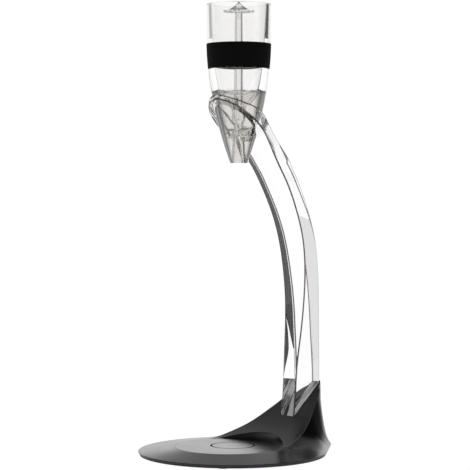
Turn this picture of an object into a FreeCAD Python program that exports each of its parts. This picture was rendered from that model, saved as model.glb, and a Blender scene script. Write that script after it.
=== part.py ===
"""Wine aerator on its tasting stand, in millimetres, +Z up.

The origin is on the table, under the middle of the teardrop base. +X points to
the heel of the base, where the arm stands, and the XZ plane is the mirror plane.
"""
import FreeCAD, Part
import math
import os

V = FreeCAD.Vector
UP = V(0, 0, 1)
AXIS_Y = V(0, 1, 0)

# Base: a teardrop plan, a big front circle drawn in to a smaller round heel
base_length = 188.0
base_radius = 82.5
heel_end_radius = 44.5
pad_height = 0.8
cover_thickness = 2.0
cover_inset = 1.3
rim_height = 0.9
plateau_height = 7.9
plateau_radius = 47.2
plateau_setback = 4.5
pocket_lead = 6.0
groove_radius = 18.8
groove_width = 1.6
groove_depth = 0.9
shell_wall = 2.2
shell_land = 8.0
slope_wall = 3.4
hollow_dip = 0.5

# Heel: distance in front of the heel's end, height of the slope, half width of the slope
heel_stations = [
    (82.0, 8.6, 45.0),
    (70.0, 12.0, 41.5),
    (58.0, 16.4, 37.5),
    (46.0, 22.4, 32.9),
    (34.0, 30.6, 27.4),
    (22.0, 39.9, 21.2),
    (10.0, 50.2, 14.6),
]
slope_start = 92.0
heel_top_gap = 1.7
heel_top_height = 57.6
heel_top_half_width = 10.0
heel_corner_radius = 4.0
slope_run_on = 1.5
wall_sweep_front = 1.0
wall_sweep_heel = 1.45
wall_sweep_rise = 1 / 3

# Wall surface: points and faces round half the base, and the levels between rim and crease
crease_angles = (180, 168, 156, 144, 132, 120, 110, 100)
loop_points = 41
loop_faces = 4
loop_levels = (0.0, 0.16, 0.34, 0.52, 0.7, 0.85, 1.0, 1.07)

# Foot seat: the arm's foot lies in a shallow pocket of the slope
seat_front_gap = 37.4
seat_front_height = 27.2
seat_back_gap = 3.3
seat_back_height = 56.5
seat_clearance = 0.15
seat_cut_height = 100.0

# Arm: its rise, and its curves at the nominal rise as (out from the spout axis, height)
arm_rise = 282.1
spout_from_heel_end = 98.0
foot_width = 16.9
arm_inner = [
    (60.6, 27.2), (62.6, 45.0), (64.3, 70.0), (67.6, 100.0), (69.9, 130.0), (69.2, 160.0),
    (64.2, 190.0), (54.8, 215.0), (41.1, 240.0), (30.5, 255.0), (6.2, 281.3),
    (-10.1, 295.3), (-26.8, 309.3), (-31.0, 313.0),
]
arm_outer = [
    (94.7, 56.5), (94.2, 75.0), (92.4, 100.0), (90.3, 130.0), (86.6, 160.0), (80.2, 190.0),
    (70.2, 215.0), (56.6, 240.0), (43.0, 260.5), (14.5, 289.5), (-1.1, 301.6),
    (-19.0, 309.3), (-31.0, 316.3),
]
arm_half_widths = [
    (27.2, 8.45), (45.0, 8.4), (70.0, 8.7), (100.0, 10.4), (130.0, 12.2), (160.0, 14.4),
    (190.0, 16.0), (215.0, 16.8), (240.0, 17.7), (258.0, 18.8), (285.0, 32.0), (330.0, 42.0),
]
arm_neck_x = 28.0
arm_neck_half_width = 18.4
arm_neck_fillet = 30.0
ring_wall = 3.9
ring_fit = 0.12

# Aerator: heights above the spout's end, which hangs below the ring
spout_drop = 54.7
spout_radius = 7.5
skirt_height = 62.8
seam_radius = 24.2
skirt_bulge = 1.6
skirt_tapers = 3
skirt_wall = 2.6
spout_wall = 1.1
cup_height = 139.2
cup_shoulder = 108.4
cup_radius = 28.4
cup_band_radius = 27.0
cup_wall_top = 3.9
cup_wall_shoulder = 5.3
cup_wall_band = 6.8
rim_round = 0.6
band_bottom = 82.4
band_height = 22.0
band_thickness = 1.3
band_proud = 0.1
band_gap = 0.02

# Nozzle: funnel, throat chamber, neck and diffuser in one moulding
flange_thickness = 1.6
funnel_mouth_inset = 7.8
funnel_wall = 1.7
chamber_radius = 4.4
chamber_top = 48.6
chamber_bottom = 38.2
neck_radius = 2.6
neck_top = 35.6
neck_bottom = 31.4
nozzle_wall = 1.6
nozzle_knee_drop = 0.6
diffuser_lead = 1.0
diffuser_top_radius = 3.1
diffuser_end_radius = 4.9
inlet_height = 26.6
inlet_radius = 3.0
inlet_wall = 1.2
inlet_bite = 0.4
inlet_jet_radius = 1.3
moulding_gap = 0.1

# Spreader: a hollow stem on three fins, with a pointed cap
stem_bottom = 49.4
stem_top = 131.6
stem_foot_radius = 3.9
stem_head_radius = 3.3
stem_bore = 2.1
fin_count = 3
fin_turn = 90.0
fin_width = 1.4
fin_height = 4.2
fin_reach = 8.6
fin_root = 0.4
fin_gap = 0.12
spigot_gap = 0.05
cap_tip = 141.4
cap_mid_radius = 5.0
cap_mid_height = 136.3
cap_rim = 132.9
cap_radius = 13.4
cap_thickness = 1.1
cap_hub_radius = 3.6
cap_spigot_length = 6.0
cap_hole_count = 14
cap_hole_radius = 0.95
cap_hole_inset = 1.9

# Bottom cover, its pads and screws, and the weight on it
pad_radius = 6.0
pad_thickness = 1.6
pad_bevel = 0.4
pad_seat_gap = 0.1
pad_edge_gap = 10.0
pad_front_angle = 140.0
pad_heel_angle = 38.0
screw_radius = 1.3
screw_head_radius = 2.6
screw_head_height = 1.3
screw_length = 5.4
screw_point = 0.8
screw_tip_radius = 0.3
screw_sink = 0.2
screw_hole_gap = 0.15
screw_thread_gap = 0.02
boss_radius = 3.4
front_screw_circle = 42.0
front_screw_angle = 135.0
rear_screw_gap = 36.0
rear_screw_half_span = 24.0
ballast_gap = 0.2
ballast_front_radius = 36.0
ballast_heel_radius = 20.0
ballast_heel_gap = 44.0

# Places that follow from the sizes above
heel_end = base_length / 2
front_centre = -base_length / 2 + base_radius
heel_centre = heel_end - heel_end_radius
plateau_centre = front_centre - plateau_setback
spout_x = heel_end - spout_from_heel_end
cover_top = pad_height + cover_thickness
rim_top = cover_top + rim_height
ballast_thickness = plateau_height - slope_wall - ballast_gap - cover_top
nominal_rise = arm_inner[-2][1] - arm_inner[0][1]
ring_height = seat_front_height + arm_rise
spout_z = ring_height - spout_drop
funnel_mouth = seam_radius - funnel_mouth_inset
flange_radius = seam_radius - skirt_wall
far = base_length + arm_rise
hair = 0.01


def spline(points):
    """A smooth edge through the given vectors."""
    curve = Part.BSplineCurve()
    curve.interpolate(points)
    return curve.toShape()


def prism(edges, direction):
    """A solid swept from the face that the edges close, along the direction."""
    return Part.Face(Part.Wire(edges)).extrude(direction)


def turned(points):
    """A solid of revolution about the Z axis from corners given as (radius, height)."""
    corners = [V(r, 0, z) for r, z in points]
    return Part.Face(Part.makePolygon(corners + corners[:1])).revolve(V(0, 0, 0), UP, 360)


def radius_at(outline, height):
    """Radius at a height of an outline of straight tapers that runs upwards."""
    for (low_r, low_z), (high_r, high_z) in zip(outline, outline[1:]):
        if height <= high_z:
            break
    return low_r + (high_r - low_r) * (height - low_z) / (high_z - low_z)


def placed(shape):
    """A piece of the aerator, moved to the spout axis and the spout's height."""
    moved = shape.copy()
    moved.translate(V(spout_x, 0, spout_z))
    return moved


# Plan outlines of the base

def heel_angle(big, small, gap):
    """Angle of the tangent points where two circles are drawn together."""
    return math.acos((big - small) / gap)


def teardrop_face(big, big_x, small, small_x, z):
    """A flat face round two circles and the tangents that join them."""
    t = heel_angle(big, small, small_x - big_x)
    pa = V(big_x + big * math.cos(t), big * math.sin(t), z)
    pb = V(small_x + small * math.cos(t), small * math.sin(t), z)
    pc, pd = V(pb.x, -pb.y, z), V(pa.x, -pa.y, z)
    edges = [
        Part.Arc(pa, V(big_x - big, 0, z), pd).toShape(),
        Part.makeLine(pd, pc),
        Part.Arc(pc, V(small_x + small, 0, z), pb).toShape(),
        Part.makeLine(pb, pa),
    ]
    return Part.Face(Part.Wire(edges))


def teardrop(big, big_x, small, small_x, z, height):
    return teardrop_face(big, big_x, small, small_x, z).extrude(V(0, 0, height))


def rim_point(p, inset):
    """The point of the rim outline, drawn in by the inset, that is nearest to p."""
    t = heel_angle(base_radius, heel_end_radius, heel_centre - front_centre)
    side = 1 if p.y >= 0 else -1
    normal = V(math.cos(t), side * math.sin(t), 0)
    along = V(-math.sin(t), side * math.cos(t), 0)
    front = V(front_centre, 0, 0)
    heel = V(heel_centre, 0, 0)
    if (p - heel).dot(along) < 0:
        out = (p - heel).normalize()
        return heel + out * (heel_end_radius - inset)
    if (p - front).dot(along) > 0:
        out = (p - front).normalize()
        return front + out * (base_radius - inset)
    reach = base_radius - (p - front).dot(normal)
    return p + normal * (reach - inset)


def upper_loop(inset):
    """Half of the bevel's upper edge in plan: the plateau circle, the crease, the heel's top."""
    r = plateau_radius - inset
    half = []
    for angle in crease_angles:
        a = math.radians(angle)
        half.append(V(plateau_centre + r * math.cos(a), r * math.sin(a), 0))
    half += [V(heel_end - gap, w - inset, 0) for gap, _, w in heel_stations]
    top_x = heel_end - heel_top_gap - inset
    w, c = heel_top_half_width - inset, heel_corner_radius
    for angle in (90, 45, 0):
        a = math.radians(angle)
        half.append(V(top_x - c + c * math.cos(a), w - c + c * math.sin(a), 0))
    half.append(V(top_x, 0, 0))
    return half


def slope_edge(drop):
    """The heel's slope in the XZ plane, from the plateau to past the heel's top."""
    points = [V(heel_end - slope_start, 0, plateau_height)]
    points += [V(heel_end - gap, 0, z) for gap, z, _ in heel_stations]
    points += [V(heel_end - heel_top_gap, 0, heel_top_height)]
    last, before = points[-1], points[-2]
    points.append(last + (last - before) * slope_run_on)
    curve = Part.BSplineCurve()
    curve.interpolate(Points=points, InitialTangent=V(1, 0, 0), FinalTangent=last - before)
    edge = curve.toShape()
    edge.translate(V(0, 0, -drop))
    return edge


slope_nominal = slope_edge(0.0)


def slope_height(x):
    """Height of the slope above the table at x."""
    start = slope_nominal.Vertexes[0].Point
    if x <= start.x:
        return plateau_height
    curve = slope_nominal.Curve
    low, high = slope_nominal.ParameterRange
    for _ in range(40):
        middle = (low + high) / 2
        if curve.value(middle).x < x:
            low = middle
        else:
            high = middle
    return curve.value(low).z


def ring_curve(half):
    """A closed smooth curve through half a ring of points and its mirror image."""
    curve = Part.BSplineCurve()
    back = [V(p.x, -p.y, p.z) for p in reversed(half[1:-1])]
    curve.interpolate(Points=half + back, PeriodicFlag=True)
    return curve


def ring_wire(half, roof=None):
    """The ring's curve as a wire of edges end to end, or its plan at a roof's height."""
    curve = ring_curve(half)
    if roof is not None:
        for i, pole in enumerate(curve.getPoles()):
            curve.setPole(i + 1, V(pole.x, pole.y, roof))
    step = (len(half) - 1) // loop_faces
    edges = []
    for i in range(2 * loop_faces):
        piece = curve.copy()
        piece.segment(curve.getKnot(i * step + 1), curve.getKnot((i + 1) * step + 1))
        edges.append(piece.toShape())
    return Part.Wire(edges)


def flare(inset, drop, low_z, land, rim):
    """The base's wall: rings of points that fall from the crease to the rim, hollow in profile.

    Each point of the upper edge falls to the nearest point of the rim. On the way down its
    height follows a power of the way left to go, straight at the front and swept at the heel.
    The rim below it is upright.
    """
    crease = upper_loop(inset)
    curve = ring_curve(crease)
    upper = curve.discretize(Number=loop_points, First=curve.FirstParameter,
                             Last=curve.getKnot(len(crease)))
    upper[0].y = upper[-1].y = 0.0
    rings = []
    for level in loop_levels:
        ring = []
        for p in upper:
            foot = rim_point(p, 0.0)
            if land:
                foot = rim_point(p, min(land, shell_wall + (foot - p).Length / 2))
            top = slope_height(p.x) - drop
            share = (top + drop - plateau_height) / (heel_top_height - plateau_height)
            sweep = min(1.0, share / wall_sweep_rise)
            power = wall_sweep_front + (wall_sweep_heel - wall_sweep_front) * sweep
            plan = foot + (p - foot) * level
            ring.append(V(plan.x, plan.y, low_z + (top - low_z) * level ** power))
        rings.append(ring)
    wires = [ring_wire(ring) for ring in rings]
    roof_wire = ring_wire(rings[-1], 2 * heel_top_height)
    low_wire = wires[0].translated(V(0, 0, -rim))
    faces = Part.makeLoft(wires, False, False).Faces
    for below, above in ((low_wire, wires[0]), (wires[-1], roof_wire)):
        faces += [Part.makeRuledSurface(a, b) for a, b in zip(below.Edges, above.Edges)]
    faces += [Part.Face(low_wire), Part.Face(roof_wire)]
    shell = Part.Shell(faces)
    shell.sewShape()
    solid = Part.Solid(shell)
    if solid.Volume < 0:
        solid.reverse()
    return solid


def above_slope(drop):
    """Everything above the slope and the flat in front of it."""
    edge = slope_edge(drop)
    start, end = edge.Vertexes[0].Point, edge.Vertexes[1].Point
    corners = [end, V(end.x, 0, far), V(-far, 0, far), V(-far, 0, start.z), start]
    sides = [Part.makeLine(corners[i], corners[i + 1]) for i in range(4)]
    block = prism([edge] + sides, AXIS_Y * 2 * far)
    block.translate(AXIS_Y * -far)
    return block


# Foot seat, shared by the base and the arm

seat_front = V(heel_end - seat_front_gap, 0, seat_front_height)
seat_back = V(heel_end - seat_back_gap, 0, seat_back_height)
seat_along = (seat_back - seat_front).normalize()
seat_normal = V(-seat_along.z, 0, seat_along.x)
seat_length = (seat_back - seat_front).Length


def seat_block():
    """A block on the seat plane, as wide as the foot with its clearance, standing up from it."""
    a = seat_front - seat_along * seat_clearance
    b = seat_back + seat_along * seat_clearance
    up = seat_normal * seat_cut_height
    face = Part.Face(Part.makePolygon([a, b, b + up, a + up, a]))
    half = foot_width / 2 + seat_clearance
    face.translate(AXIS_Y * -half)
    return face.extrude(AXIS_Y * 2 * half)


# Screws of the bottom cover

def screw_places():
    places = []
    a = math.radians(front_screw_angle)
    for side in (1, -1):
        places.append((plateau_centre + front_screw_circle * math.cos(a),
                       side * front_screw_circle * math.sin(a)))
        places.append((heel_end - rear_screw_gap, side * rear_screw_half_span))
    return places


def screw_solid(x, y, gap=0.0):
    """A countersunk screw standing head down, or with a gap the hole for it, open below."""
    r, head = screw_radius + gap, screw_head_radius + gap
    seat = pad_height + screw_sink
    neck = seat + screw_head_height
    tip = neck + screw_length
    points = [(0.0, seat), (head, seat), (r, neck), (r, tip - screw_point),
              (screw_tip_radius, tip + gap), (0.0, tip + gap)]
    if gap:
        points[0:1] = [(0.0, seat - 2 * screw_sink), (head, seat - 2 * screw_sink)]
    solid = turned(points)
    solid.translate(V(x, y, 0))
    return solid


def pad_places():
    places = []
    for centre, radius, angle in ((front_centre, base_radius, pad_front_angle),
                                  (heel_centre, heel_end_radius, pad_heel_angle)):
        a = math.radians(angle)
        r = radius - pad_edge_gap
        for side in (1, -1):
            places.append((centre + r * math.cos(a), side * r * math.sin(a)))
    return places


def base_shell():
    """The teardrop moulding: flared wall, swept slope, round pocket, groove and hollow inside."""
    body = flare(0.0, 0.0, rim_top, 0.0, rim_height).cut(above_slope(0.0))
    pocket = Part.makeCylinder(plateau_radius, far, V(plateau_centre, 0, plateau_height))
    heel_side = Part.makeBox(far, 2 * far, 2 * far, V(heel_end - slope_start - pocket_lead, -far, 0))
    body = body.cut(pocket.common(heel_side))
    ring_out = Part.makeCylinder(groove_radius + groove_width / 2, far,
                                 V(front_centre, 0, plateau_height - groove_depth))
    ring_in = Part.makeCylinder(groove_radius - groove_width / 2, far,
                                V(front_centre, 0, plateau_height - groove_depth))
    body = body.cut(ring_out.cut(ring_in))
    body = body.cut(seat_block())
    hollow = flare(shell_wall, shell_wall, cover_top - hollow_dip, shell_land, hollow_dip)
    hollow = hollow.cut(above_slope(slope_wall))
    ceiling = plateau_height - shell_wall
    over_floor = Part.makeCylinder(plateau_radius + shell_wall, far, V(plateau_centre, 0, ceiling))
    hollow = hollow.cut(over_floor)
    for x, y in screw_places():
        hollow = hollow.cut(Part.makeCylinder(boss_radius, far, V(x, y, 0)))
    body = body.cut(hollow)
    for x, y in screw_places():
        body = body.cut(screw_solid(x, y, screw_thread_gap))
    return body


def bottom_cover():
    """The flat cover under the shell, with sunk seats for the pads and holes for the screws."""
    plate = teardrop(base_radius - cover_inset, front_centre,
                     heel_end_radius - cover_inset, heel_centre, pad_height, cover_thickness)
    for x, y in pad_places():
        plate = plate.cut(Part.makeCylinder(pad_radius + pad_seat_gap, pad_thickness, V(x, y, 0)))
    for x, y in screw_places():
        plate = plate.cut(screw_solid(x, y, screw_hole_gap))
    return plate


def foot_pad(x, y):
    """A round rubber pad with a bevelled lower edge."""
    pad = turned([(0.0, 0.0), (pad_radius - pad_bevel, 0.0), (pad_radius, pad_bevel),
                  (pad_radius, pad_thickness), (0.0, pad_thickness)])
    pad.translate(V(x, y, 0))
    return pad


def cover_screws():
    return Part.makeCompound([screw_solid(x, y) for x, y in screw_places()])


def ballast_plate():
    """The steel plate that keeps the stand upright, lying on the cover inside the shell."""
    return teardrop(ballast_front_radius, plateau_centre, ballast_heel_radius,
                    heel_end - ballast_heel_gap, cover_top, ballast_thickness)


# Aerator outlines, as radius and height above the spout's end

def skirt_outline(grow=0.0):
    """The skirt's bulged outer line as straight tapers, grown outwards by a clearance."""
    outline = []
    for i in range(skirt_tapers + 1):
        share = i / skirt_tapers
        bulge = 4 * skirt_bulge * share * (1 - share)
        radius = spout_radius + (seam_radius - spout_radius) * share + bulge + grow
        outline.append((radius, skirt_height * share))
    return outline


def skirt_inside(gap=0.0):
    """The skirt's inner line up to the ledge for the flange, drawn in by a gap."""
    outer = skirt_outline()
    ledge = skirt_height - flange_thickness
    inner = [(outer[0][0] - spout_wall - gap, 0.0)]
    inner += [(r - skirt_wall - gap, z) for r, z in outer[1:-1]]
    return inner + [(radius_at(outer, ledge) - skirt_wall - gap, ledge)]


def aerator_skirt():
    """The clear cone round the nozzle, with the two air inlets cut across it."""
    ledge = skirt_height - flange_thickness
    r = flange_radius + moulding_gap
    skirt = turned(skirt_outline() + [(r, skirt_height), (r, ledge)] + skirt_inside()[::-1])
    hole = Part.makeCylinder(inlet_radius, 2 * seam_radius,
                             V(0, -seam_radius, inlet_height), AXIS_Y)
    return placed(skirt.cut(hole))


def funnel_line(rise=0.0):
    """The funnel's inner cone from the throat chamber to its mouth at the seam."""
    return [(chamber_radius, chamber_top + rise), (funnel_mouth, skirt_height + rise)]


def venturi_nozzle():
    """Funnel, throat chamber, neck, diffuser and the two side tubes of the air inlets."""
    throat, mouth = funnel_line()
    ledge = skirt_height - flange_thickness
    slope = (mouth[0] - throat[0]) / (mouth[1] - throat[1])
    chamber_out = chamber_radius + nozzle_wall
    funnel_out = mouth[0] + funnel_wall
    out_low = chamber_top - funnel_wall
    out_high = out_low + (funnel_out - chamber_out) / slope
    end_wall = spout_radius - spout_wall - moulding_gap
    core_radius = diffuser_top_radius + nozzle_wall
    outer = [
        (flange_radius, skirt_height), (flange_radius, ledge), (funnel_out, ledge),
        (funnel_out, min(out_high, ledge)), (chamber_out, out_low),
        (chamber_out, chamber_bottom - nozzle_knee_drop),
        (neck_radius + nozzle_wall, neck_top - nozzle_knee_drop),
        (neck_radius + nozzle_wall, neck_bottom), (core_radius, neck_bottom - diffuser_lead),
        (end_wall, 0.0),
    ]
    inner = [
        (diffuser_end_radius, 0.0), (diffuser_top_radius, neck_bottom - diffuser_lead),
        (neck_radius, neck_bottom), (neck_radius, neck_top), (chamber_radius, chamber_bottom),
        throat, mouth,
    ]
    tube = Part.makeCylinder(inlet_radius + inlet_wall, 2 * seam_radius,
                             V(0, -seam_radius, inlet_height), AXIS_Y)
    inside = skirt_inside(moulding_gap)
    tube = tube.common(turned(inside + [(0.0, inside[-1][1]), (0.0, 0.0)]))
    bore = turned(inner + [(0.0, skirt_height), (0.0, 0.0)])
    body = turned(outer + inner).fuse(tube).cut(bore)
    for side in (1, -1):
        start = V(0, side * (core_radius - inlet_bite), inlet_height)
        body = body.cut(Part.makeCylinder(inlet_radius, seam_radius, start, AXIS_Y * side))
    jet = Part.makeCylinder(inlet_jet_radius, 2 * core_radius,
                            V(0, -core_radius, inlet_height), AXIS_Y)
    return placed(body.cut(jet).removeSplitter())


def cup_outer():
    """The cup's outer line: two tapers that meet at the band's lower edge."""
    return [(seam_radius, skirt_height), (cup_band_radius, band_bottom), (cup_radius, cup_shoulder)]


def band_ring(depth, proud):
    """The ring that the band fills, from its depth in the cup to what stands proud."""
    top = band_bottom + band_height
    high = radius_at(cup_outer(), top)
    return turned([(cup_band_radius + proud, band_bottom), (high + proud, top),
                   (high - depth, top), (cup_band_radius - depth, band_bottom)])


def aerator_cup():
    """The clear reservoir, thick walled, with a groove round it for the grip band."""
    rim_in = cup_radius - cup_wall_top
    cup = turned(cup_outer() + [
        (cup_radius, cup_height - rim_round), (cup_radius - rim_round, cup_height),
        (rim_in + rim_round, cup_height), (rim_in, cup_height - rim_round),
        (cup_radius - cup_wall_shoulder, cup_shoulder),
        (cup_band_radius - cup_wall_band, band_bottom), (funnel_mouth, skirt_height),
    ])
    return placed(cup.cut(band_ring(band_thickness, band_thickness)))


def grip_band():
    return placed(band_ring(band_thickness - band_gap, band_proud))


def spreader_stem():
    """The hollow stem with the fins that stand on the funnel."""
    stem = turned([(stem_bore, stem_bottom), (stem_foot_radius, stem_bottom),
                   (stem_head_radius, stem_top), (stem_bore, stem_top)])
    throat, mouth = funnel_line(fin_gap)
    space = turned([(0.0, stem_bottom), (radius_at([throat, mouth], stem_bottom), stem_bottom),
                    mouth, (0.0, mouth[1])])
    slope = (mouth[0] - throat[0]) / (mouth[1] - throat[1])
    fin_top = stem_bottom + (fin_reach - throat[0]) / slope + fin_height
    root = stem_bore + fin_root
    for i in range(fin_count):
        fin = Part.makeBox(fin_reach - root, fin_width, fin_top, V(root, -fin_width / 2, 0))
        fin.rotate(V(0, 0, 0), UP, 360.0 * i / fin_count + fin_turn)
        stem = stem.fuse(fin.common(space))
    return placed(stem.removeSplitter())


def spreader_cap():
    """The pointed cap that throws the wine out to the wall, with a ring of drip holes."""
    top = [(cap_radius, cap_rim), (cap_mid_radius, cap_mid_height), (0.0, cap_tip)]
    under = [(r, z - cap_thickness) for r, z in top[:2]]
    steep = (cap_tip - cap_mid_height) / cap_mid_radius
    hub = (cap_hub_radius, cap_tip - steep * cap_hub_radius - cap_thickness)
    spigot = stem_bore - spigot_gap
    spigot_end = stem_top - cap_spigot_length
    cap = turned(top + [(0.0, spigot_end), (spigot, spigot_end), (spigot, stem_top),
                        (cap_hub_radius, stem_top), hub] + under[::-1])
    for i in range(cap_hole_count):
        a = 2 * math.pi * (i + 0.5) / cap_hole_count
        r = cap_radius - cap_hole_inset
        place = V(r * math.cos(a), r * math.sin(a), stem_top)
        cap = cap.cut(Part.makeCylinder(cap_hole_radius, cap_tip - stem_top, place))
    return placed(cap)


# Arm

def arm_place(point):
    """A nominal point of the arm's side view, carried to the driving rise and reach."""
    x, z = point
    return V(spout_x + x, 0, seat_front_height + (z - arm_inner[0][1]) * arm_rise / nominal_rise)


def stand_arm():
    """The clear curved arm: side view, front view and plan drawn together, bored for the cone."""
    inner = [arm_place(p) for p in arm_inner]
    outer = [arm_place(p) for p in arm_outer]
    inner[0], outer[0] = seat_front, seat_back
    side = prism([spline(inner), Part.makeLine(inner[-1], outer[-1]), spline(outer),
                  Part.makeLine(outer[0], inner[0])], AXIS_Y * 2 * far)
    side.translate(AXIS_Y * -far)

    edge = [V(0, w, arm_place((0, z)).z) for z, w in arm_half_widths]
    low = edge[0] + (edge[0] - edge[1])
    edge = [low] + edge
    mirrored = [V(0, -p.y, p.z) for p in edge]
    front = prism([spline(edge), Part.makeLine(edge[-1], mirrored[-1]), spline(mirrored),
                   Part.makeLine(mirrored[0], edge[0])], V(2 * far, 0, 0))
    front.translate(V(-far, 0, 0))

    ring = radius_at(skirt_outline(), spout_drop) + ring_wall
    reach = math.hypot(arm_neck_x, arm_neck_half_width)
    touch = math.atan2(arm_neck_half_width, arm_neck_x) + math.acos(ring / reach)
    t = V(ring * math.cos(touch), ring * math.sin(touch), 0)
    n = V(arm_neck_x, arm_neck_half_width, 0)
    e = V(far, arm_neck_half_width, 0)
    flip = [V(p.x, -p.y, 0) for p in (t, n, e)]
    plan = prism([Part.Arc(t, V(-ring, 0, 0), flip[0]).toShape(), Part.makeLine(flip[0], flip[1]),
                  Part.makeLine(flip[1], flip[2]), Part.makeLine(flip[2], e),
                  Part.makeLine(e, n), Part.makeLine(n, t)], UP * far)
    corners = [k for k in plan.Edges
               if abs(k.BoundBox.XMin - arm_neck_x) < hair and k.BoundBox.XLength < hair]
    plan = plan.makeFillet(arm_neck_fillet, corners)
    plan.translate(V(spout_x, 0, 0))

    bore = turned(skirt_outline(ring_fit) + [(0.0, skirt_height), (0.0, 0.0)])
    return side.common(front).common(plan).cut(placed(bore))


os.makedirs("parts", exist_ok=True)
nodes = {
    "base_shell": base_shell(),
    "bottom_cover": bottom_cover(),
    "ballast_plate": ballast_plate(),
    "cover_screws": cover_screws(),
    "stand_arm": stand_arm(),
    "aerator_cup": aerator_cup(),
    "grip_band": grip_band(),
    "aerator_skirt": aerator_skirt(),
    "venturi_nozzle": venturi_nozzle(),
    "spreader_stem": spreader_stem(),
    "spreader_cap": spreader_cap(),
}
for number, (x, y) in enumerate(pad_places(), start=1):
    nodes["foot_pad_%d" % number] = foot_pad(x, y)
for name, shape in nodes.items():
    shape.exportStep("parts/%s.step" % name)
    box = shape.BoundBox
    print("%-15s solids %d valid %s volume %.0f  x %.1f %.1f  y %.1f %.1f  z %.1f %.1f" % (
        name, len(shape.Solids), shape.isValid(), shape.Volume, box.XMin, box.XMax,
        box.YMin, box.YMax, box.ZMin, box.ZMax))
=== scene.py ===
"""A clear wine aerator in the ring of a curved clear arm, on a black teardrop base."""

import math

import bpy
import numpy as np
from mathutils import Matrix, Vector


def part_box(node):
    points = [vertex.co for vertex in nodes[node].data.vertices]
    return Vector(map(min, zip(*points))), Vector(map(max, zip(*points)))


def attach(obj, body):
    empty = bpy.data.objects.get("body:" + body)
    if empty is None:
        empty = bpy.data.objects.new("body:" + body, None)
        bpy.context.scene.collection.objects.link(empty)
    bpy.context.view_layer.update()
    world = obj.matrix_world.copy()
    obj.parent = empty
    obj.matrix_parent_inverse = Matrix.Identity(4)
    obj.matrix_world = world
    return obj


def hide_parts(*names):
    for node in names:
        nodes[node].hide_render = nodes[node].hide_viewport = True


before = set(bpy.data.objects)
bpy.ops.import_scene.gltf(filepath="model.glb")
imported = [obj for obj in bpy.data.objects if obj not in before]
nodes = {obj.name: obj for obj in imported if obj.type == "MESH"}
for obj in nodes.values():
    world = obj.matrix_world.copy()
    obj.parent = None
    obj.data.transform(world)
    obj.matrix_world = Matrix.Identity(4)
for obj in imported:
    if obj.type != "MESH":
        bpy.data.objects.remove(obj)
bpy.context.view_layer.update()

# Foot pads
# Four round rubber pads, moulded in black rubber with a dry, slightly dusty skin.
# Each is glued in its own sunk seat of the bottom cover.

mm = 0.001
cloud_size = 25.0 * mm


def fresh_material(name):
    """A new material, with its node tree and its shader."""
    material = bpy.data.materials.new(name)
    material.use_nodes = True
    return material, material.node_tree, material.node_tree.nodes["Principled BSDF"]


def grained(name, colour, roughness, spread, grain, depth, lustre=0.5):
    """A moulded skin: its roughness wanders by the spread on a slow noise, and a fine noise of
    the grain's size in metres is pressed into it to the depth in metres."""
    material, tree, shader = fresh_material(name)
    shader.inputs["Base Color"].default_value = (*colour, 1.0)
    shader.inputs["Specular IOR Level"].default_value = lustre
    place = tree.nodes.new("ShaderNodeTexCoord")
    cloud = tree.nodes.new("ShaderNodeTexNoise")
    cloud.inputs["Scale"].default_value = 1.0 / cloud_size
    cloud.inputs["Detail"].default_value = 3.0
    limits = tree.nodes.new("ShaderNodeMapRange")
    limits.inputs["To Min"].default_value = roughness - spread
    limits.inputs["To Max"].default_value = roughness + spread
    skin = tree.nodes.new("ShaderNodeTexNoise")
    skin.inputs["Scale"].default_value = 1.0 / grain
    skin.inputs["Detail"].default_value = 2.0
    press = tree.nodes.new("ShaderNodeBump")
    press.inputs["Distance"].default_value = depth
    tree.links.new(place.outputs["Object"], cloud.inputs["Vector"])
    tree.links.new(place.outputs["Object"], skin.inputs["Vector"])
    tree.links.new(cloud.outputs["Fac"], limits.inputs["Value"])
    tree.links.new(limits.outputs["Result"], shader.inputs["Roughness"])
    tree.links.new(skin.outputs["Fac"], press.inputs["Height"])
    tree.links.new(press.outputs["Normal"], shader.inputs["Normal"])
    return material


def finish_node(name, material):
    """Gives a CAD node its material."""
    mesh = nodes[name].data
    mesh.materials.clear()
    mesh.materials.append(material)


pad_rubber = grained("pad_rubber", (0.012, 0.012, 0.012), roughness=0.82, spread=0.06,
                     grain=0.6 * mm, depth=0.08 * mm)
for number in (1, 2, 3, 4):
    finish_node("foot_pad_%d" % number, pad_rubber)

# Bottom cover
# A flat cover moulded in black plastic with a matt, finely grained face.
# It closes the base from below and carries the pads in sunk seats.

cover_black = grained("cover_black", (0.014, 0.014, 0.015), roughness=0.6, spread=0.05,
                      grain=0.5 * mm, depth=0.05 * mm)
finish_node("bottom_cover", cover_black)

# Ballast plate
# A cut steel plate with a rolled skin, hidden in the base.
# It lies on the cover and keeps the tall stand from tipping.


def bare_metal(name, colour, roughness, spread, drawn):
    """Bare steel: a noise drawn out along X by the given factor wanders its roughness by the
    spread."""
    material, tree, shader = fresh_material(name)
    shader.inputs["Base Color"].default_value = (*colour, 1.0)
    shader.inputs["Metallic"].default_value = 1.0
    place = tree.nodes.new("ShaderNodeTexCoord")
    stretch = tree.nodes.new("ShaderNodeMapping")
    stretch.inputs["Scale"].default_value = (1.0, drawn, drawn)
    streaks = tree.nodes.new("ShaderNodeTexNoise")
    streaks.inputs["Scale"].default_value = 60.0
    streaks.inputs["Detail"].default_value = 4.0
    limits = tree.nodes.new("ShaderNodeMapRange")
    limits.inputs["To Min"].default_value = roughness - spread
    limits.inputs["To Max"].default_value = roughness + spread
    tree.links.new(place.outputs["Object"], stretch.inputs["Vector"])
    tree.links.new(stretch.outputs["Vector"], streaks.inputs["Vector"])
    tree.links.new(streaks.outputs["Fac"], limits.inputs["Value"])
    tree.links.new(limits.outputs["Result"], shader.inputs["Roughness"])
    return material


ballast_steel = bare_metal("ballast_steel", (0.42, 0.42, 0.43), roughness=0.45, spread=0.1,
                           drawn=12.0)
finish_node("ballast_plate", ballast_steel)

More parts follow.
